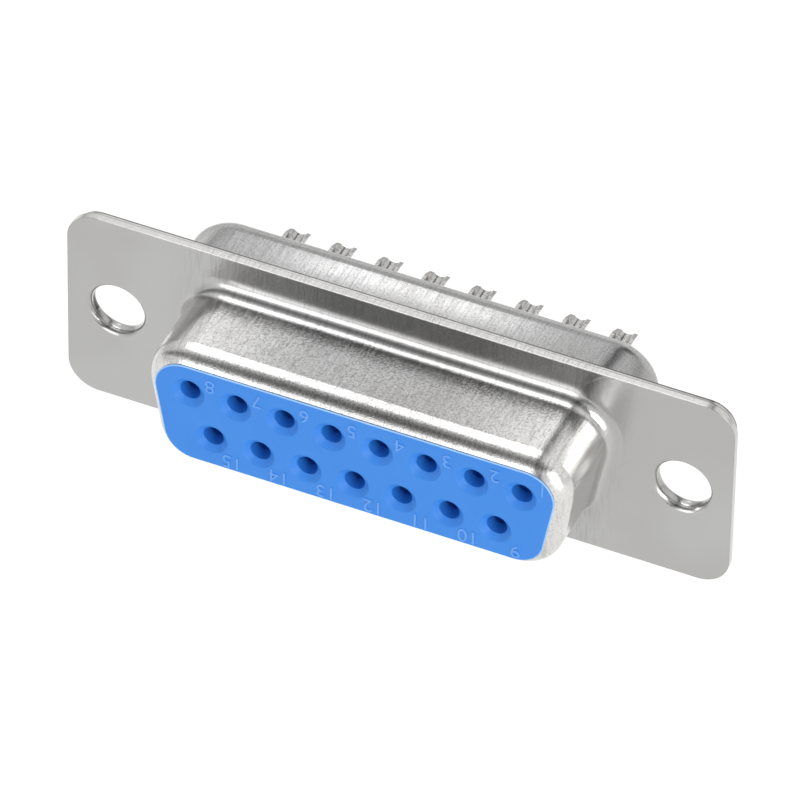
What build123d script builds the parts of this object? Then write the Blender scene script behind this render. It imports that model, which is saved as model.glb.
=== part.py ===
from build123d import *
from math import cos, radians, tan
import os

# Female subminiature D connector with fifteen ways, two rows and solder cups.
# Millimetres. The mating side looks along -Y and the solder cups along +Y.
# The origin is the middle of the two mounting holes on the flange's front face.

# Flanges of the two stamped shells. An ear's end lies beyond the mounting hole's centre,
# and the border is the least that the flange stands out past the rear shell's body.
ear_end = 2.89
flange_border = 0.9
flange_corner = 1.8
flange_edge_radius = 0.12
front_sheet = 0.5
rear_sheet = 0.38
rear_flange_inset = 0.25

# Shroud of the front shell, which goes into the mating connector
side_angle = 10.0
shroud_width = 24.7
shroud_height = 7.9
shroud_corner = 2.45
shroud_projection = 5.75
shroud_rim_radius = 1.3
shroud_base_radius = 0.88
shroud_lip = 0.71

# Drawn body of the rear shell
rear_width = 27.5
rear_height = 10.7
rear_corner = 2.8
rear_depth = 3.77
rear_rim_radius = 1.4
rear_base_radius = 0.45
rear_lip = 1.5

# Mounting holes: collars drawn from the front shell and turned over behind the rear one
hole_spacing = 33.32
hole_radius = 1.57
hole_entry_radius = 0.4
collar_wall = 0.3
collar_fit = 0.05
collar_turnover = 0.6
collar_turnover_thickness = 0.19
collar_flare_radius = 0.48
collar_edge_radius = 0.12

# Contact pattern
pitch = 2.77
row_spacing = 2.84
top_row_count = 8
bottom_row_count = 7

# Moulded insulators, which meet inside the rear shell
shell_fit = 0.05
insulator_split = 1.7
rear_nose_projection = 0.2
entry_radius = 0.6
entry_length = 0.8
lead_in_radius = 0.96
lead_in_depth = 0.3
contact_fit = 0.05

# Contacts rolled from strip: slotted socket, locating bead and solder cup. The cup is a
# gutter open down to its axis, with a ramp at its front and lips that slope away at its tip.
contact_sheet = 0.2
socket_bore_radius = 0.53
socket_recess = 0.55
mouth_bevel = 0.1
tine_slot_width = 0.2
tine_length = 3.6
bead_radius = 1.0
bead_length = 0.5
bead_slope = 0.15
cup_bore_radius = 0.46
cup_end = 8.95
cup_gutter_front = 7.1
cup_ramp_slope = 0.9
cup_tip_front = 8.25
cup_tip_slope = 0.38
seam_gap = 0.08

# How far cutting shapes run past what they cut, and how close two places count as one
overrun = 1.0
nearness = 0.01

# Sizes worked out from those above
flange_width = hole_spacing + 2 * ear_end
flange_height = rear_height + 2 * flange_border
collar_radius = hole_radius + collar_wall
rear_hole_radius = collar_radius + collar_fit
socket_radius = socket_bore_radius + contact_sheet
bead_bore_radius = bead_radius - contact_sheet
cup_radius = cup_bore_radius + contact_sheet

# Places along Y worked out from the sizes above
rear_flange_back = front_sheet + rear_sheet
rear_end = rear_flange_back + rear_depth
collar_back = rear_flange_back + collar_turnover_thickness
entry_back = -shroud_projection + lead_in_depth + entry_length
socket_mouth = entry_back + socket_recess
bead_back = insulator_split - bead_slope
bead_front = bead_back - bead_length
bead_pocket = bead_front - bead_slope - contact_fit

# Planes whose normals point the way each shell is drawn
mating_plane = Plane.XZ
solder_plane = Plane(origin=(0, rear_flange_back, 0), x_dir=(-1, 0, 0), z_dir=(0, 1, 0))


def row_centres(count, z):
    # Centres of one row of contacts, from the +X end to the -X end.
    return [(((count - 1) / 2 - index) * pitch, z) for index in range(count)]


# Contacts in the order of their numbers
contact_centres = row_centres(top_row_count, row_spacing / 2)
contact_centres += row_centres(bottom_row_count, -row_spacing / 2)
hole_places = (-hole_spacing / 2, hole_spacing / 2)


def d_outline(width, height, corner, inset):
    # Trapezium with rounded corners and its wide side up. Its overall size is width by height,
    # less the inset all round.
    slope = tan(radians(side_angle))
    secant = 1 / cos(radians(side_angle))
    half_height = height / 2
    middle = width / 2 - slope * (half_height - corner) + corner * (secant - 1)
    middle -= inset * secant
    half_height -= inset
    top = middle + slope * half_height
    bottom = middle - slope * half_height
    outline = Polygon(
        (top, half_height),
        (-top, half_height),
        (-bottom, -half_height),
        (bottom, -half_height),
        align=None,
    )
    return fillet(outline.vertices(), corner - inset)


def shroud_outline(inset=0.0):
    return d_outline(shroud_width, shroud_height, shroud_corner, inset)


def rear_outline(inset=0.0):
    return d_outline(rear_width, rear_height, rear_corner, inset)


def prism(sketch, front, back):
    # A sketch in X and Z drawn out between two places along Y.
    return extrude(Plane.XZ.offset(-back) * sketch, back - front)


def rod(x, z, radius, front, back):
    return prism(Pos(x, z) * Circle(radius), front, back)


def edges_inside(solid, level, box):
    # Edges at one level that lie within a box across them, so not on the flange's outline.
    level_edges = solid.edges().filter_by_position(Axis.Z, level - nearness, level + nearness)
    return level_edges.filter_by(
        lambda edge: abs(edge.center().X) < box.max.X + nearness
        and abs(edge.center().Y) < box.max.Y + nearness
    )


def drawn_shell(outline, sheet, flange_inset, depth, rim_radius, base_radius, lip):
    # One stamping, drawn towards +Z from a flange whose face is at zero.
    flange_outline = RectangleRounded(
        flange_width - 2 * flange_inset,
        flange_height - 2 * flange_inset,
        flange_corner - flange_inset,
    )
    flange = extrude(flange_outline, -sheet)
    flange = fillet(flange.edges().group_by(Axis.Z)[0], flange_edge_radius)
    body = extrude(outline(), depth)
    body_box = body.bounding_box()
    body = fillet(body.edges().group_by(Axis.Z)[-1], rim_radius)
    shell = flange + body
    shell = fillet(edges_inside(shell, 0, body_box), base_radius)
    hollow = Pos(0, 0, -sheet) * extrude(outline(sheet), depth)
    hollow = fillet(hollow.edges().group_by(Axis.Z)[-1], rim_radius - sheet)
    shell -= hollow
    shell -= extrude(outline(lip), depth + overrun)
    return fillet(edges_inside(shell, -sheet, body_box), base_radius + sheet)


def hole_rims(shell, x):
    # The sharp rims of one mounting hole, front to back.
    circles = shell.edges().filter_by(GeomType.CIRCLE)
    rims = circles.filter_by(
        lambda edge: abs(edge.radius - hole_radius) < nearness
        and abs(edge.arc_center.X - x) < nearness
    )
    return rims.sort_by(Axis.Y)


def front_shell():
    shell = mating_plane * drawn_shell(
        outline=shroud_outline,
        sheet=front_sheet,
        flange_inset=0.0,
        depth=shroud_projection,
        rim_radius=shroud_rim_radius,
        base_radius=shroud_base_radius,
        lip=shroud_lip,
    )
    for x in hole_places:
        collar = rod(x, 0, collar_radius, front_sheet, collar_back)
        turnover = rod(x, 0, collar_radius + collar_turnover, rear_flange_back, collar_back)
        turnover = fillet(turnover.edges().group_by(Axis.Y)[-1], collar_edge_radius)
        shell += collar + turnover
        shell -= rod(x, 0, hole_radius, -overrun, collar_back + overrun)
        shell = fillet(hole_rims(shell, x)[0], hole_entry_radius)
        shell = fillet(hole_rims(shell, x)[-1], collar_flare_radius)
    return shell


def rear_shell():
    shell = solder_plane * drawn_shell(
        outline=rear_outline,
        sheet=rear_sheet,
        flange_inset=rear_flange_inset,
        depth=rear_depth,
        rim_radius=rear_rim_radius,
        base_radius=rear_base_radius,
        lip=rear_lip,
    )
    for x in hole_places:
        shell -= rod(x, 0, rear_hole_radius, 0, collar_back)
    return shell


def front_insulator():
    seat = -shroud_projection + front_sheet
    rim_radius = shroud_rim_radius - front_sheet
    body = prism(shroud_outline(front_sheet + shell_fit), seat, front_sheet)
    body = fillet(body.edges().group_by(Axis.Y)[0], rim_radius)
    nose = prism(shroud_outline(shroud_lip + shell_fit), -shroud_projection, seat + rim_radius)
    flange = prism(rear_outline(rear_sheet + shell_fit), front_sheet, insulator_split)
    block = body + nose + flange
    for x, z in contact_centres:
        face = Plane(origin=(x, -shroud_projection, z), x_dir=(1, 0, 0), z_dir=(0, 1, 0))
        lead_in = Cone(
            lead_in_radius,
            entry_radius,
            lead_in_depth,
            align=(Align.CENTER, Align.CENTER, Align.MIN),
        )
        block -= face * lead_in
        block -= rod(x, z, entry_radius, -shroud_projection - overrun, insulator_split)
        block -= rod(x, z, socket_radius + contact_fit, entry_back, insulator_split)
        block -= rod(x, z, bead_radius + contact_fit, bead_pocket, insulator_split)
    return block


def rear_insulator():
    seat = rear_end - rear_sheet
    rim_radius = rear_rim_radius - rear_sheet
    body = prism(rear_outline(rear_sheet + shell_fit), insulator_split, seat)
    body = fillet(body.edges().group_by(Axis.Y)[-1], rim_radius)
    nose_end = rear_end + rear_nose_projection
    nose = prism(rear_outline(rear_lip + shell_fit), seat - rim_radius, nose_end)
    block = body + nose
    for x, z in contact_centres:
        block -= rod(x, z, cup_radius + contact_fit, insulator_split, rear_end + overrun)
    return block


def contact(x, z):
    # A tube with a seam along its top, tines at the socket and an open gutter at the cup.
    outside = [
        (socket_radius, socket_mouth),
        (socket_radius, bead_front - bead_slope),
        (bead_radius, bead_front),
        (bead_radius, bead_back),
        (cup_radius, bead_back + bead_slope),
        (cup_radius, cup_end),
    ]
    inside = [
        (cup_bore_radius, cup_end),
        (cup_bore_radius, bead_back + bead_slope),
        (bead_bore_radius, bead_back),
        (bead_bore_radius, bead_front),
        (socket_bore_radius, bead_front - bead_slope),
        (socket_bore_radius, socket_mouth + mouth_bevel),
        (socket_bore_radius + mouth_bevel, socket_mouth),
    ]
    tube = revolve(Plane.XY * Polygon(*outside, *inside, align=None), Axis.Y, 360)
    seam = Pos(0, socket_mouth - overrun, 0) * Box(
        seam_gap,
        cup_end - socket_mouth + 2 * overrun,
        bead_radius + overrun,
        align=(Align.CENTER, Align.MIN, Align.MIN),
    )
    slots = Pos(0, socket_mouth - overrun, 0) * Box(
        tine_slot_width,
        tine_length + overrun,
        2 * (socket_radius + overrun),
        align=(Align.CENTER, Align.MIN, Align.CENTER),
    )
    cut_height = cup_radius + overrun
    cut_end = cup_end + overrun
    cut_outline = Polygon(
        (cup_gutter_front - cut_height / cup_ramp_slope, cut_height),
        (cup_gutter_front, 0),
        (cup_tip_front, 0),
        (cut_end, -cup_tip_slope * (cut_end - cup_tip_front)),
        (cut_end, cut_height),
        align=None,
    )
    opening = extrude(Plane.YZ * cut_outline, cut_height, both=True)
    # The cups of the bottom row open downward
    turn = 0 if z > 0 else 180
    return Pos(x, 0, z) * Rot(0, turn, 0) * (tube - seam - slots - opening)


os.makedirs("parts", exist_ok=True)
export_step(front_shell(), "parts/front_shell.step")
export_step(rear_shell(), "parts/rear_shell.step")
export_step(front_insulator(), "parts/front_insulator.step")
export_step(rear_insulator(), "parts/rear_insulator.step")
for number, (x, z) in enumerate(contact_centres, start=1):
    export_step(contact(x, z), f"parts/contact_{number:02d}.step")
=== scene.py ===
import math
import bpy
from mathutils import Matrix, Vector


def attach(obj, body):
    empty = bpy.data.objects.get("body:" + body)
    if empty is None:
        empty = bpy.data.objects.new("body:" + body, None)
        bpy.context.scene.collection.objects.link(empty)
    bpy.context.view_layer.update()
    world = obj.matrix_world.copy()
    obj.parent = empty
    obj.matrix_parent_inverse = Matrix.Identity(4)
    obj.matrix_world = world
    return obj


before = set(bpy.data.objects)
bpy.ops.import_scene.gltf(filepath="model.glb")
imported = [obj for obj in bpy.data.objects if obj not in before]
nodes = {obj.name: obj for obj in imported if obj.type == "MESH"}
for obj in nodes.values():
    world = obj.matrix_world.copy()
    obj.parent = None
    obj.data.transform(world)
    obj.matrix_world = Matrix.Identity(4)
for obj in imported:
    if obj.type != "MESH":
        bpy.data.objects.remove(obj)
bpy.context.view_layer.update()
shells = ["front_shell", "rear_shell"]
insulators = ["front_insulator", "rear_insulator"]
contacts = sorted(name for name in nodes if name.startswith("contact_"))
print("connector loaded:", len(nodes), "pieces")


def linearColour(hexCode):
    # sRGB hex to the linear values that the shaders use
    parts = [int(hexCode[i:i + 2], 16) / 255 for i in (1, 3, 5)]
    return [c / 12.92 if c <= 0.04045 else ((c + 0.055) / 1.055) ** 2.4 for c in parts] + [1.0]


def emptyTree(owner):
    # The node tree of a material or a world, without the nodes that it starts with
    owner.use_nodes = True
    owner.node_tree.nodes.clear()
    return owner.node_tree


def addNode(tree, kind, inputs=None, **settings):
    # One node with its settings; an input is a value or the socket that feeds it
    node = tree.nodes.new(kind)
    for name, value in settings.items():
        setattr(node, name, value)
    for socket, value in (inputs or {}).items():
        if isinstance(value, bpy.types.NodeSocket):
            tree.links.new(value, node.inputs[socket])
        else:
            node.inputs[socket].default_value = value
    return node


# Camera: a long lens in front of the mating side, to its right and well above it
photoView = {
    "azimuth": 23.191,
    "elevation": 42.612,
    "roll": 1.099,
    "distance": 0.536345,
    "focalPixels": 9968.0,
    "framePixels": 800,
    "sensorWidth": 36.0,
    "aimAcross": 0.000191,
    "aimUp": -0.000106,
    "clip": (0.05, 20),
}


def placeCamera(v):
    a, e, r = (math.radians(v[k]) for k in ("azimuth", "elevation", "roll"))
    back = Vector((math.sin(a) * math.cos(e), -math.cos(a) * math.cos(e), math.sin(e)))
    level = Vector((math.cos(a), math.sin(a), 0))
    rise = back.cross(level)
    across = level * math.cos(r) + rise * math.sin(r)
    up = rise * math.cos(r) - level * math.sin(r)
    data = bpy.data.cameras.new("camera")
    data.sensor_width = v["sensorWidth"]
    data.lens = v["focalPixels"] / v["framePixels"] * v["sensorWidth"]
    data.clip_start, data.clip_end = v["clip"]
    camera = bpy.data.objects.new("camera", data)
    place = across * v["aimAcross"] + up * v["aimUp"] + back * v["distance"]
    turned = Matrix((across, up, back)).transposed()
    camera.matrix_world = Matrix.Translation(place) @ turned.to_4x4()
    bpy.context.scene.collection.objects.link(camera)
    bpy.context.scene.camera = camera


placeCamera(photoView)
bpy.context.scene.view_settings.view_transform = "Standard"
print("camera placed")

# Studio: a pale table, grey walls that change over the ceiling from back to front and from side
# to side, and soft boxes
studio = {
    "tableDepth": 0.052,
    "tableSize": 8.0,
    "tableColour": "#DEDEDD",
    "tableGlow": 0.25,
    "walls": [
        # half turns from the back wall's foot over the ceiling to the front wall's foot, and paint
        (0.0, "#DADADA"),
        (0.06, "#DADADA"),
        (0.14, "#FFFFFF"),
        (0.56, "#FFFFFF"),
        (0.62, "#DCDCDC"),
        (0.67, "#A0A0A0"),
        (0.70, "#8C8C8C"),
        (0.77, "#8C8C8C"),
        (0.80, "#B4B4B4"),
        (0.825, "#FFFFFF"),
    ],
    "sides": [
        # from 0 at the left through 0.5 straight ahead to 1 at the right, and what darkens the paint
        (0.0, "#DADADA"),
        (0.22, "#FFFFFF"),
        (0.49, "#FFFFFF"),
        (0.54, "#727272"),
        (0.59, "#727272"),
        (0.66, "#FFFFFF"),
    ],
    "boxes": [
        # name, place, the point it faces, width, height, radiance
        ("ceilingBox", (-0.25, 0.175, 0.99), (-0.25, 0, 0), 0.60, 0.70, 2.4),
        ("backBox", (-0.160, 0.423, 0.266), (-0.160, 0, 0), 0.075, 0.07, 1.6),
        ("backGlow", (-0.160, 0.417, 0.276), (-0.160, 0, 0), 0.10, 0.13, 0.75),
        ("frontBox", (-0.29, -0.98, 0.205), (-0.29, 0, 0), 0.42, 0.40, 2.5),
        ("rightBox", (0.79, -0.55, 0.27), (0, 0, 0), 0.45, 0.62, 4.5),
    ],
}


def makeTable(s):
    half = s["tableSize"] / 2
    mesh = bpy.data.meshes.new("table")
    corners = [(-half, -half), (half, -half), (half, half), (-half, half)]
    mesh.from_pydata([(x, y, -s["tableDepth"]) for x, y in corners], [], [(0, 1, 2, 3)])
    table = bpy.data.objects.new("table", mesh)
    bpy.context.scene.collection.objects.link(table)
    # Matt painted board: lit by the lamps, and lighter where the camera, metal or glass sees it
    board = bpy.data.materials.new("mattBoard")
    tree = emptyTree(board)
    paint = addNode(tree, "ShaderNodeBsdfDiffuse", {"Color": linearColour(s["tableColour"])})
    path = addNode(tree, "ShaderNodeLightPath")
    seen = path.outputs["Is Camera Ray"]
    for ray in ("Is Glossy Ray", "Is Transmission Ray"):
        seen = addNode(tree, "ShaderNodeMath", {0: seen, 1: path.outputs[ray]},
                       operation="ADD").outputs[0]
    glow = addNode(tree, "ShaderNodeMath", {0: seen, 1: s["tableGlow"]}, operation="MULTIPLY")
    white = addNode(tree, "ShaderNodeEmission", {"Strength": glow.outputs[0]})
    both = addNode(tree, "ShaderNodeAddShader", {0: paint.outputs[0], 1: white.outputs[0]})
    addNode(tree, "ShaderNodeOutputMaterial", {"Surface": both.outputs[0]})
    mesh.materials.append(board)


def makeRoom(s):
    world = bpy.data.worlds.new("studio")
    tree = emptyTree(world)
    direction = addNode(tree, "ShaderNodeTexCoord")
    way = addNode(tree, "ShaderNodeSeparateXYZ", {0: direction.outputs["Generated"]})
    angle = addNode(tree, "ShaderNodeMath", {0: way.outputs["Z"], 1: way.outputs["Y"]},
                    operation="ARCTAN2")
    turn = addNode(tree, "ShaderNodeMath", {0: angle.outputs[0], 1: 1 / math.pi},
                   operation="MULTIPLY")
    aside = addNode(tree, "ShaderNodeMapRange", {"Value": way.outputs["X"],
                                                 "From Min": -1.0, "From Max": 1.0})
    walls = addNode(tree, "ShaderNodeValToRGB", {"Fac": turn.outputs[0]})
    sides = addNode(tree, "ShaderNodeValToRGB", {"Fac": aside.outputs[0]})
    for paint, stops in ((walls.color_ramp, s["walls"]), (sides.color_ramp, s["sides"])):
        while len(paint.elements) < len(stops):
            paint.elements.new(0.5)
        for element, (place, colour) in zip(paint.elements, stops):
            element.position = place
            element.color = linearColour(colour)
    painted = addNode(tree, "ShaderNodeMix",
                      {0: 1.0, 6: walls.outputs["Color"], 7: sides.outputs["Color"]},
                      data_type="RGBA", blend_type="MULTIPLY")
    light = addNode(tree, "ShaderNodeBackground", {"Color": painted.outputs[2]})
    addNode(tree, "ShaderNodeOutputWorld", {"Surface": light.outputs[0]})
    bpy.context.scene.world = world


def hangBox(name, place, faces, width, height, radiance):
    data = bpy.data.lights.new(name, "AREA")
    data.shape = "RECTANGLE"
    data.size = width
    data.size_y = height
    data.energy = radiance * math.pi * width * height
    box = bpy.data.objects.new(name, data)
    back = (Vector(place) - Vector(faces)).normalized()
    across = Vector((0, 0, 1)).cross(back).normalized()
    turned = Matrix((across, back.cross(across), back)).transposed()
    box.matrix_world = Matrix.Translation(place) @ turned.to_4x4()
    box.visible_camera = False
    bpy.context.scene.collection.objects.link(box)


makeTable(studio)
makeRoom(studio)
for softBox in studio["boxes"]:
    hangBox(*softBox)
print("studio lit")


def startMaterial(name):
    # A material with an empty tree, and the place on the piece in millimetres
    material = bpy.data.materials.new(name)
    tree = emptyTree(material)
    place = addNode(tree, "ShaderNodeTexCoord")
    inMm = addNode(tree, "ShaderNodeMapping", {"Vector": place.outputs["Object"],
                                               "Scale": (1000, 1000, 1000)})
    return material, tree, inMm.outputs[0]


# Nickel-plated mild steel, blanked and deep drawn: a neutral grey mirror, blurred by a fine pebbled
# grain, with faint streaks the way the sheet was drawn and a few fine scratches from handling
platedSteel = {
    "plate": "#B0B0B0",
    "thin": "#A8A7A6",      # where the plating is thinner
    "thinFrom": (0.4, 0.6),
    "paintedSheen": "#DFDEDC",     # painted sheen: lighter towards the ends of the D, a painted highlight for the brighter reflections there
    "sheenFrom": (4.0, 12.0),
    "pit": "#757473",
    "pitFrom": (0.36, 0.50),
    "pitDepth": 0.65,
    "pitsUnderSheen": 0.35,        # how much of the pits stays towards the ends, where the colour is painted lighter
    "tornAndShaded": "#4A4948",      # the torn part of the blanked edge, painted darker: partly its real dull fracture zone, partly painted shade at the seam between the flanges
    "tornShadeDepth": 0.9,
    "edgeRound": 0.09,      # mm, how far blanking rolls the flange's edges over
    "edgeReach": (1.0, 1.3),
    "edgeWearAndSheen": 0.6,        # how far the blanked edge is painted lighter: partly the polish of handling, partly a painted highlight along the edge
    "roughness": (0.17, 0.25),
    "roughFrom": (0.35, 0.65),
    "grain": 0.10,          # mm across one pebble; the real ones are finer
    "grainHeight": 0.0060,  # mm, where the sheet was stretched most
    "flatGrain": 0.15,      # how much of the grain is left on the flat flange
    "pull": (0.12, 1.6),    # mm across and along the marks that the draw leaves on the flange
    "pullFrom": (0.48, 0.66),
    "pullDepth": 0.25,
    "pullEnd": (11.0, 13.5),
    "blankedFrom": 18.0,    # the flange's own outline, in mm of X and of Z
    "blankedAbove": 5.9,
    "blankedFacing": 0.5,   # a face that looks along the sheet has less Y than this in its normal
    "streak": (0.12, 0.7),  # mm across and along the draw
    "streakHeight": 0.0012,
    "wave": 1.9,            # mm between the shallow waves of the drawn sheet
    "waveHeight": 0.010,
    "cloud": 9.0,           # mm between thick and thin plating
    "scratch": (0.06, 14.0),
    "scratchTurn": 38,      # degrees from the long side
    "scratchFrom": (0.68, 0.76),
    "scratchDepth": 0.0020,
}
# How each shell's drawn walls lean and belly in what they mirror, while the mesh stays straight:
# lean in degrees, and each round by its side, where it starts and how round it is. The sheet is
# stretched from one Y to another, where its grain reaches that strength. Then how far the ends of
# the D are painted lighter, a painted highlight, and the two Y between which the blanked edge is
# painted darker, partly its real dull fracture zone and partly painted shade at the seam between
# the flanges. Lengths are in mm
bellies = {
    "front_shell": {
        "lean": 4.2,
        "rounds": [("X", 9.0, -0.004)],
        "stretched": (-0.1, -1.0, 1.0),
        "endSheen": 1.0,
        "tearAndShade": (0.38, 0.44),
    },
    "rear_shell": {
        "lean": 0.0,
        "rounds": [("Y", 1.2, -0.035), ("X", 3.0, -0.0070)],
        "stretched": (0.8, 1.6, 0.6),
        "endSheen": 0.0,
        "tearAndShade": (0.78, 0.84),
    },
}


def sheetNoises(tree, inMm, size):
    # The sheet's grain, waves and plating, and the marks of the draw and of handling
    across, along = size["streak"]
    drawn = addNode(tree, "ShaderNodeMapping", {"Vector": inMm,
                                                "Scale": (1 / across, 1 / along, 1 / across)})
    across, along = size["pull"]
    pulled = addNode(tree, "ShaderNodeMapping", {"Vector": inMm,
                                                 "Scale": (1 / across, 1 / along, 1 / along)})
    across, along = size["scratch"]
    scratchTurn = (0, math.radians(size["scratchTurn"]), 0)
    turned = addNode(tree, "ShaderNodeMapping", {"Vector": inMm, "Rotation": scratchTurn})
    rubbed = addNode(tree, "ShaderNodeMapping", {"Vector": turned.outputs[0],
                                                 "Scale": (1 / along, 1 / along, 1 / across)})
    noises = {
        "grain": {"Vector": inMm, "Scale": 1 / size["grain"], "Detail": 2.0, "Roughness": 0.6},
        "streaks": {"Vector": drawn.outputs[0], "Scale": 1.0, "Detail": 3.0, "Roughness": 0.55},
        "waves": {"Vector": inMm, "Scale": 1 / size["wave"], "Detail": 1.0},
        "clouds": {"Vector": inMm, "Scale": 1 / size["cloud"], "Detail": 2.0},
        "pulls": {"Vector": pulled.outputs[0], "Scale": 1.0, "Detail": 2.0},
        "scratches": {"Vector": rubbed.outputs[0], "Scale": 1.0, "Detail": 0.0},
    }
    return {kind: addNode(tree, "ShaderNodeTexNoise", inputs).outputs[0]
            for kind, inputs in noises.items()}


def sheetMasks(tree, noises, spot, off, size, belly):
    # What each mask reads, from where to where, and what it gives at those two ends
    flat, deep, grown = belly["stretched"]
    masks = {
        "thin": (noises["clouds"], size["thinFrom"], (0.0, 1.0)),
        "stretched": (spot["Y"], (flat, deep), (size["flatGrain"], grown)),
        "endSheen": (off["X"], size["sheenFrom"], (0.0, belly["endSheen"])),
        "mottled": (noises["grain"], size["pitFrom"], (size["pitDepth"], 0.0)),
        "pulls": (noises["pulls"], size["pullFrom"], (0.0, size["pullDepth"])),
        "near": (off["X"], size["pullEnd"], (1.0, 0.0)),
        "dullAndShaded": (spot["Y"], belly["tearAndShade"], (0.0, size["tornShadeDepth"])),
        "onFlange": (off["Y"], size["edgeReach"], (1.0, 0.0)),
        "rough": (noises["streaks"], size["roughFrom"], size["roughness"]),
        "scratched": (noises["scratches"], size["scratchFrom"], (0.0, 1.0)),
    }
    for name, (value, (start, end), (first, last)) in masks.items():
        masks[name] = addNode(tree, "ShaderNodeMapRange",
                              {"Value": value, "From Min": start, "From Max": end,
                               "To Min": first, "To Max": last}).outputs[0]
    return masks


def blankedEdge(tree, faces, off, size):
    # Only a face that looks along the sheet, at the flange's outline, is a blanked edge
    faced = addNode(tree, "ShaderNodeSeparateXYZ", {0: faces.outputs["True Normal"]})
    facing = addNode(tree, "ShaderNodeMath", {0: faced.outputs["Y"]}, operation="ABSOLUTE")
    sideways = addNode(tree, "ShaderNodeMath", {0: facing.outputs[0], 1: size["blankedFacing"]},
                       operation="LESS_THAN")
    ends = addNode(tree, "ShaderNodeMath", {0: off["X"], 1: size["blankedFrom"]},
                   operation="GREATER_THAN")
    sides = addNode(tree, "ShaderNodeMath", {0: off["Z"], 1: size["blankedAbove"]},
                    operation="GREATER_THAN")
    outline = addNode(tree, "ShaderNodeMath", {0: ends.outputs[0], 1: sides.outputs[0]},
                      operation="MAXIMUM")
    return addNode(tree, "ShaderNodeMath", {0: outline.outputs[0], 1: sideways.outputs[0]},
                   operation="MULTIPLY").outputs[0]


def sheetColour(tree, masks, edge, size):
    # Lighter towards the ends of the D: a painted highlight that stands in for the brighter
    # reflections there
    sheenAmount = addNode(tree, "ShaderNodeMath", {0: masks["endSheen"], 1: masks["stretched"]},
                     operation="MULTIPLY")
    # The blanked edge is painted lighter: partly real polish from handling, partly a painted
    # highlight
    edgeSheen = addNode(tree, "ShaderNodeMath", {0: edge, 1: size["edgeWearAndSheen"]}, operation="MULTIPLY")
    sheenAmount = addNode(tree, "ShaderNodeMath", {0: sheenAmount.outputs[0], 1: edgeSheen.outputs[0]},
                     operation="MAXIMUM")
    pitsKept = addNode(tree, "ShaderNodeMapRange", {"Value": masks["endSheen"], "To Min": 1.0,
                                                  "To Max": size["pitsUnderSheen"]})
    pitted = addNode(tree, "ShaderNodeMath", {0: masks["mottled"], 1: masks["stretched"]},
                     operation="MULTIPLY")
    pitted = addNode(tree, "ShaderNodeMath", {0: pitted.outputs[0], 1: pitsKept.outputs[0]},
                     operation="MULTIPLY")
    marked = addNode(tree, "ShaderNodeMath", {0: masks["pulls"], 1: masks["near"]},
                     operation="MULTIPLY")
    # The torn part of the blanked edge is painted darker: partly the real dull fracture zone, partly
    # painted shade at the seam
    tornAndShaded = addNode(tree, "ShaderNodeMath", {0: masks["dullAndShaded"], 1: edge}, operation="MULTIPLY")
    layers = [
        (masks["thin"], "thin"),
        (sheenAmount.outputs[0], "paintedSheen"),
        (pitted.outputs[0], "pit"),
        (marked.outputs[0], "pit"),
        (tornAndShaded.outputs[0], "tornAndShaded"),
    ]
    colour = linearColour(size["plate"])
    for amount, name in layers:
        colour = addNode(tree, "ShaderNodeMix",
                         {0: amount, 6: colour, 7: linearColour(size[name])},
                         data_type="RGBA").outputs[2]
    return colour


def bellyHeight(tree, spot, off, belly):
    # The wall's drawn form in mm: the lean, then each round, which grows as the square of its run
    lean = math.tan(math.radians(belly["lean"]))
    height = addNode(tree, "ShaderNodeMath", {0: spot["Y"], 1: lean}, operation="MULTIPLY")
    run = {"X": off["X"], "Y": spot["Y"]}
    for side, start, roundness in belly["rounds"]:
        past = addNode(tree, "ShaderNodeMath", {0: run[side], 1: start}, operation="SUBTRACT")
        past = addNode(tree, "ShaderNodeMath", {0: past.outputs[0], 1: 0.0}, operation="MAXIMUM")
        past = addNode(tree, "ShaderNodeMath", {0: past.outputs[0], 1: 2.0}, operation="POWER")
        height = addNode(tree, "ShaderNodeMath",
                         {0: past.outputs[0], 1: roundness, 2: height.outputs[0]},
                         operation="MULTIPLY_ADD")
    return height.outputs[0]


def nickelPlatedSteel(name, size, belly):
    material, tree, inMm = startMaterial(name)
    faces = addNode(tree, "ShaderNodeNewGeometry")
    spot = addNode(tree, "ShaderNodeSeparateXYZ", {0: inMm}).outputs
    off = {axis: addNode(tree, "ShaderNodeMath", {0: spot[axis]}, operation="ABSOLUTE").outputs[0]
           for axis in "XYZ"}
    noises = sheetNoises(tree, inMm, size)
    masks = sheetMasks(tree, noises, spot, off, size, belly)
    edge = blankedEdge(tree, faces, off, size)
    rolled = addNode(tree, "ShaderNodeBevel", {"Radius": size["edgeRound"] / 1000}, samples=4)
    softened = addNode(tree, "ShaderNodeMix", {0: masks["onFlange"], 4: faces.outputs["Normal"],
                                               5: rolled.outputs[0]}, data_type="VECTOR")
    # The belly first, then the waves, the streaks, the grain and last the scratches, which sink in
    relief = [
        (bellyHeight(tree, spot, off, belly), 1.0, 1.0, False),
        (noises["waves"], 1.0, size["waveHeight"], False),
        (noises["streaks"], 1.0, size["streakHeight"], False),
        (noises["grain"], masks["stretched"], size["grainHeight"], False),
        (masks["scratched"], 1.0, size["scratchDepth"], True),
    ]
    normal = softened.outputs[1]
    for height, strength, depth, sunk in relief:
        normal = addNode(tree, "ShaderNodeBump",
                         {"Height": height, "Strength": strength, "Distance": depth / 1000,
                          "Normal": normal}, invert=sunk).outputs[0]
    metal = addNode(tree, "ShaderNodeBsdfPrincipled",
                    {"Base Color": sheetColour(tree, masks, edge, size), "Metallic": 1.0,
                     "Roughness": masks["rough"], "Normal": normal})
    addNode(tree, "ShaderNodeOutputMaterial", {"Surface": metal.outputs[0]})
    return material


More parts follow.
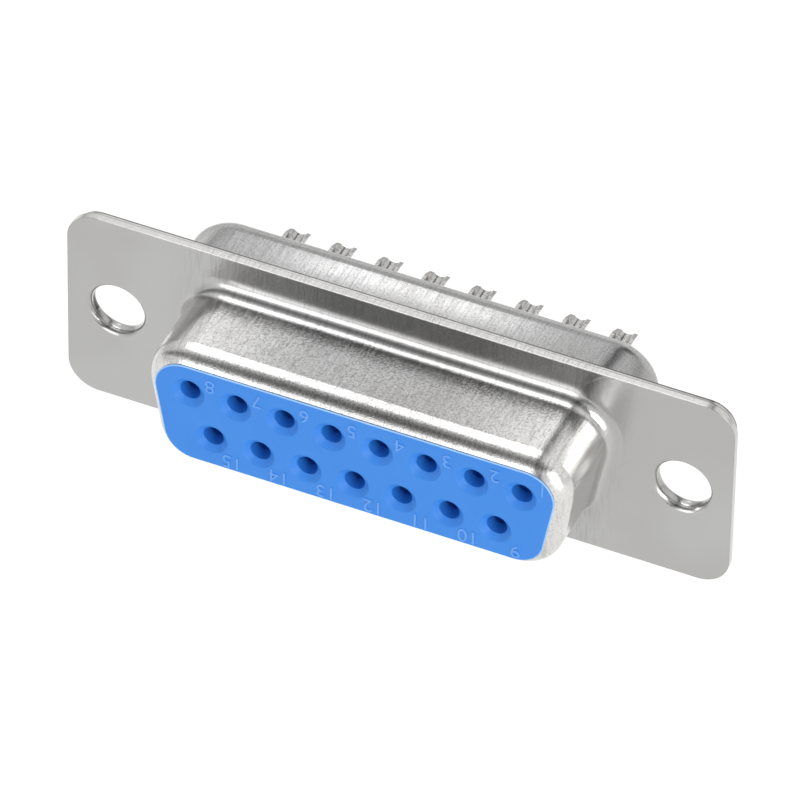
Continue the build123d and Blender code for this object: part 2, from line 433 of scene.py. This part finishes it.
# Glass-filled PBT, injection moulded: a clear mid blue, satin from the spark-eroded mould
mouldedBlue = {
    "body": "#2A82E0",
    "paler": "#3389E4",
    "ior": 1.53,
    "roughness": (0.38, 0.52),
    "roughFrom": (0.3, 0.7),
    "texture": 0.12,        # mm between the mould's spark pits
    "textureHeight": 0.0022,
    "cloud": 2.4,
}


def mouldedPlastic(name, size):
    material, tree, inMm = startMaterial(name)
    pits = addNode(tree, "ShaderNodeTexNoise", {"Vector": inMm, "Scale": 1 / size["texture"],
                                                "Detail": 2.0})
    clouds = addNode(tree, "ShaderNodeTexNoise", {"Vector": inMm, "Scale": 1 / size["cloud"],
                                                  "Detail": 3.0})
    colour = addNode(tree, "ShaderNodeMix",
                     {0: clouds.outputs[0], 6: linearColour(size["body"]),
                      7: linearColour(size["paler"])}, data_type="RGBA")
    start, end = size["roughFrom"]
    low, high = size["roughness"]
    rough = addNode(tree, "ShaderNodeMapRange", {"Value": pits.outputs[0], "From Min": start,
                                                 "From Max": end, "To Min": low, "To Max": high})
    bump = addNode(tree, "ShaderNodeBump", {"Height": pits.outputs[0], "Strength": 1.0,
                                            "Distance": size["textureHeight"] / 1000})
    plastic = addNode(tree, "ShaderNodeBsdfPrincipled",
                      {"Base Color": colour.outputs[2], "IOR": size["ior"],
                       "Roughness": rough.outputs[0], "Normal": bump.outputs[0]})
    addNode(tree, "ShaderNodeOutputMaterial", {"Surface": plastic.outputs[0]})
    return material


# Bright tin on brass strip, rolled into a tube: paler and glossier than the nickel, speckled where
# the tin is dull, with marks along the strip
platedBrass = {
    "plate": "#BEBDBB",
    "shade": "#5A5958",
    "shadeFrom": (0.36, 0.50),
    "shadeDepth": 0.45,
    "roughness": (0.05, 0.16),
    "roughFrom": (0.35, 0.65),
    "grain": 0.12,
    "grainHeight": 0.0060,
    "rolling": (0.07, 1.6),
    "rollingHeight": 0.0030,
}


def tinPlatedBrass(name, size):
    material, tree, inMm = startMaterial(name)
    across, along = size["rolling"]
    rolled = addNode(tree, "ShaderNodeMapping", {"Vector": inMm,
                                                 "Scale": (1 / across, 1 / along, 1 / across)})
    grain = addNode(tree, "ShaderNodeTexNoise", {"Vector": inMm, "Scale": 1 / size["grain"],
                                                 "Detail": 2.0})
    marks = addNode(tree, "ShaderNodeTexNoise", {"Vector": rolled.outputs[0], "Scale": 1.0,
                                                 "Detail": 2.0})
    start, end = size["roughFrom"]
    low, high = size["roughness"]
    rough = addNode(tree, "ShaderNodeMapRange", {"Value": marks.outputs[0], "From Min": start,
                                                 "From Max": end, "To Min": low, "To Max": high})
    start, end = size["shadeFrom"]
    dulled = addNode(tree, "ShaderNodeMapRange",
                     {"Value": grain.outputs[0], "From Min": start, "From Max": end,
                      "To Min": size["shadeDepth"], "To Max": 0.0})
    colour = addNode(tree, "ShaderNodeMix",
                     {0: dulled.outputs[0], 6: linearColour(size["plate"]),
                      7: linearColour(size["shade"])}, data_type="RGBA")
    bump = addNode(tree, "ShaderNodeBump", {"Height": marks.outputs[0], "Strength": 1.0,
                                            "Distance": size["rollingHeight"] / 1000})
    bump = addNode(tree, "ShaderNodeBump",
                   {"Height": grain.outputs[0], "Strength": 1.0,
                    "Distance": size["grainHeight"] / 1000, "Normal": bump.outputs[0]})
    metal = addNode(tree, "ShaderNodeBsdfPrincipled",
                    {"Base Color": colour.outputs[2], "Metallic": 1.0,
                     "Roughness": rough.outputs[0], "Normal": bump.outputs[0]})
    addNode(tree, "ShaderNodeOutputMaterial", {"Surface": metal.outputs[0]})
    return material


def dress(names, material):
    for name in names:
        for slot in nodes[name].material_slots:
            slot.material = material


for shell in shells:
    dress([shell], nickelPlatedSteel("nickelPlated_" + shell, platedSteel, bellies[shell]))
dress(insulators, mouldedPlastic("glassFilledPbtBlue", mouldedBlue))
dress(contacts, tinPlatedBrass("tinPlatedBrass", platedBrass))
print("shells, insulators and contacts dressed")


def sizedTree(name, sizes):
    # A geometry tree with an input for each size, and the node that gives them
    tree = bpy.data.node_groups.new(name, "GeometryNodeTree")
    tree.interface.new_socket("Geometry", in_out="OUTPUT", socket_type="NodeSocketGeometry")
    kinds = {int: "NodeSocketInt", float: "NodeSocketFloat", tuple: "NodeSocketVector"}
    for label, value in sizes.items():
        socket = tree.interface.new_socket(label, in_out="INPUT", socket_type=kinds[type(value)])
        socket.default_value = value
    return tree, addNode(tree, "NodeGroupInput")


def finishTree(tree, shape, plastic):
    # From millimetres to metres, as real faces of one material
    inMetres = addNode(tree, "GeometryNodeTransform", {0: shape, "Scale": (0.001, 0.001, 0.001)})
    real = addNode(tree, "GeometryNodeRealizeInstances", {0: inMetres.outputs[0]})
    finished = addNode(tree, "GeometryNodeSetMaterial", {0: real.outputs[0],
                                                         "Material": plastic})
    addNode(tree, "NodeGroupOutput", {0: finished.outputs[0]})
    return tree


def plainMesh(name, tree, sizes):
    # Runs a tree on an empty piece with its sizes, and keeps the result as a plain mesh
    maker = bpy.data.objects.new(name + "Maker", bpy.data.meshes.new(name + "Maker"))
    bpy.context.scene.collection.objects.link(maker)
    modifier = maker.modifiers.new("sizes", "NODES")
    modifier.node_group = tree
    for socket in tree.interface.items_tree:
        if socket.in_out == "INPUT":
            modifier[socket.identifier] = sizes[socket.name]
    graph = bpy.context.evaluated_depsgraph_get()
    mesh = bpy.data.meshes.new_from_object(maker.evaluated_get(graph))
    mesh.name = name
    maker.modifiers.remove(modifier)
    bpy.data.objects.remove(maker)
    piece = bpy.data.objects.new(name, mesh)
    bpy.context.scene.collection.objects.link(piece)
    return piece


# Moulded numbers beside the ways, thin raised strokes that read upright from the narrow side
mouldedNumbers = {
    "Top Count": 8,
    "Bottom Count": 7,
    "Pitch": 2.77,
    "Top Beside": (1.29, 0.0, 2.40),     # mm from the way's own X, and height on the face
    "Bottom Beside": (1.22, 0.0, -2.58),
    "Digit Height": 1.25,
    "Relief": 0.045,
    "Face": -5.75,
}


def numberTree(n, plastic):
    tree, sizes = sizedTree("wayNumbers", n)
    topCount, bottomCount = sizes.outputs["Top Count"], sizes.outputs["Bottom Count"]
    both = addNode(tree, "ShaderNodeMath", {0: topCount, 1: bottomCount}, operation="ADD")
    start = addNode(tree, "GeometryNodeRepeatInput")
    end = addNode(tree, "GeometryNodeRepeatOutput")
    start.pair_with_output(end)
    tree.links.new(both.outputs[0], start.inputs["Iterations"])
    index = start.outputs["Iteration"]
    number = addNode(tree, "ShaderNodeMath", {0: index, 1: 1.0}, operation="ADD")
    text = addNode(tree, "FunctionNodeValueToString", {0: number.outputs[0]})
    strokes = addNode(tree, "GeometryNodeStringToCurves",
                      {"String": text.outputs[0], "Size": sizes.outputs["Digit Height"]},
                      align_x="CENTER", align_y="MIDDLE")
    outline = addNode(tree, "GeometryNodeRealizeInstances", {0: strokes.outputs[0]})
    flat = addNode(tree, "GeometryNodeFillCurve", {0: outline.outputs[0]})
    raised = addNode(tree, "GeometryNodeExtrudeMesh",
                     {0: flat.outputs[0], "Offset Scale": sizes.outputs["Relief"],
                      "Individual": False})
    # Place in its row, from the +X end, and beside its own way
    isBottom = addNode(tree, "FunctionNodeCompare", {2: index, 3: topCount},
                       data_type="INT", operation="GREATER_EQUAL").outputs[0]
    count = addNode(tree, "GeometryNodeSwitch", {0: isBottom, 1: topCount, 2: bottomCount},
                    input_type="INT")
    before = addNode(tree, "GeometryNodeSwitch", {0: isBottom, 1: 0, 2: topCount},
                     input_type="INT")
    beside = addNode(tree, "GeometryNodeSwitch",
                     {0: isBottom, 1: sizes.outputs["Top Beside"],
                      2: sizes.outputs["Bottom Beside"]}, input_type="VECTOR")
    inRow = addNode(tree, "ShaderNodeMath", {0: index, 1: before.outputs[0]},
                    operation="SUBTRACT")
    middle = addNode(tree, "ShaderNodeMath", {0: count.outputs[0], 1: 0.5, 2: -0.5},
                     operation="MULTIPLY_ADD")
    steps = addNode(tree, "ShaderNodeMath", {0: middle.outputs[0], 1: inRow.outputs[0]},
                    operation="SUBTRACT")
    run = addNode(tree, "ShaderNodeMath", {0: steps.outputs[0], 1: sizes.outputs["Pitch"]},
                  operation="MULTIPLY")
    way = addNode(tree, "ShaderNodeCombineXYZ", {"X": run.outputs[0],
                                                 "Y": sizes.outputs["Face"]})
    spot = addNode(tree, "ShaderNodeVectorMath", {0: way.outputs[0], 1: beside.outputs[0]},
                   operation="ADD")
    placed = addNode(tree, "GeometryNodeTransform",
                     {0: raised.outputs[0], "Translation": spot.outputs[0],
                      "Rotation": (math.radians(90), math.radians(180), 0)})
    joined = addNode(tree, "GeometryNodeJoinGeometry", {0: start.outputs["Geometry"]})
    tree.links.new(placed.outputs[0], joined.inputs[0])
    tree.links.new(joined.outputs[0], end.inputs["Geometry"])
    return finishTree(tree, end.outputs["Geometry"], plastic)


# The strokes stand proud of the mould's texture, so they are smoother; their paler blue is a painted
# highlight for the light that the raised strokes catch
smoothBlue = dict(mouldedBlue, roughness=(0.20, 0.28), textureHeight=0.0008)
strokeBluePaintedLight = dict(smoothBlue, body="#5499EA", paler="#66A6EF")
strokePlasticPaintedLight = mouldedPlastic("glassFilledPbtBlueStrokesPaintedLight", strokeBluePaintedLight)
numbers = plainMesh("way_numbers", numberTree(mouldedNumbers, strokePlasticPaintedLight), mouldedNumbers)
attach(numbers, "root")
print("numbers moulded:", len(numbers.data.polygons), "faces")

# The face's rounded edge, which closes the fine gap to the shell's lip
faceEdge = {
    "Wide Side": 23.86,
    "Narrow Side": 21.59,
    "Face Height": 6.36,
    "Corner": 1.68,
    "Corner Steps": 14,
    "Roundness": 0.06,
    "Round Steps": 12,
    "Face": -5.69,
}


def edgeTree(e, plastic):
    tree, sizes = sizedTree("faceEdge", e)
    outline = addNode(tree, "GeometryNodeCurvePrimitiveQuadrilateral",
                      {"Bottom Width": sizes.outputs["Narrow Side"],
                       "Top Width": sizes.outputs["Wide Side"], "Offset": 0.0,
                       "Height": sizes.outputs["Face Height"]}, mode="TRAPEZOID")
    rounded = addNode(tree, "GeometryNodeFilletCurve",
                      {"Curve": outline.outputs[0], "Count": sizes.outputs["Corner Steps"],
                       "Radius": sizes.outputs["Corner"]}, mode="POLY")
    bead = addNode(tree, "GeometryNodeCurvePrimitiveCircle",
                   {"Resolution": sizes.outputs["Round Steps"],
                    "Radius": sizes.outputs["Roundness"]})
    ring = addNode(tree, "GeometryNodeCurveToMesh", {"Curve": rounded.outputs[0],
                                                     "Profile Curve": bead.outputs[0]})
    depth = addNode(tree, "ShaderNodeCombineXYZ", {"Y": sizes.outputs["Face"]})
    stood = addNode(tree, "GeometryNodeTransform",
                    {0: ring.outputs[0], "Translation": depth.outputs[0],
                     "Rotation": (math.radians(90), 0, 0)})
    return finishTree(tree, stood.outputs[0], plastic)


# Painted pale: a painted highlight for the light that the rounded edge catches
edgeBluePaintedHighlight = dict(smoothBlue, body="#7DB6F5", paler="#A6CEFA")
edgePlasticPaintedHighlight = mouldedPlastic("glassFilledPbtBlueEdgePaintedHighlight", edgeBluePaintedHighlight)
rounding = plainMesh("face_edge", edgeTree(faceEdge, edgePlasticPaintedHighlight), faceEdge)
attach(rounding, "root")
print("face edge rounded:", len(rounding.data.polygons), "faces")
